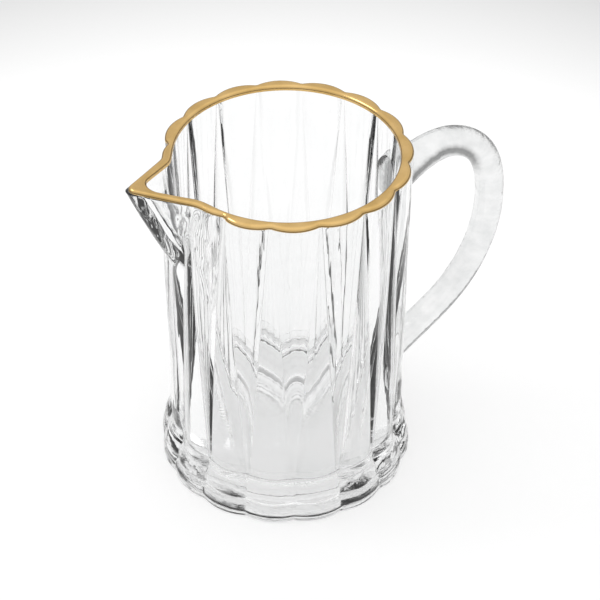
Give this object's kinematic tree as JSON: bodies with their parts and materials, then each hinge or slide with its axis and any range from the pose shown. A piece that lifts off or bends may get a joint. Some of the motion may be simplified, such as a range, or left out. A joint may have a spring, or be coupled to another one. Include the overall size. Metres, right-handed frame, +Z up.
{
  "type": "cream jug",
  "caption": "Small clear pressed-glass cream jug: panelled wall, scalloped foot, beak spout, round loop handle and gilt rim.",
  "frame": {"origin": "middle of the flat ring under the foot, on the axis of the round bore, at table level", "axes": "+Z up; -X towards the tip of the spout; +X towards the handle; the XZ plane is the mirror plane"},
  "size_m": [0.1176, 0.0736, 0.108],
  "materials": {
    "clear_glass": "polished",
    "gilt": "satin"
  },
  "bodies": {
    "root": {"glass_body": "clear_glass", "glass_foot": "clear_glass", "glass_handle": "clear_glass", "gilt_rim": "gilt"}
  },
  "joints": []
}
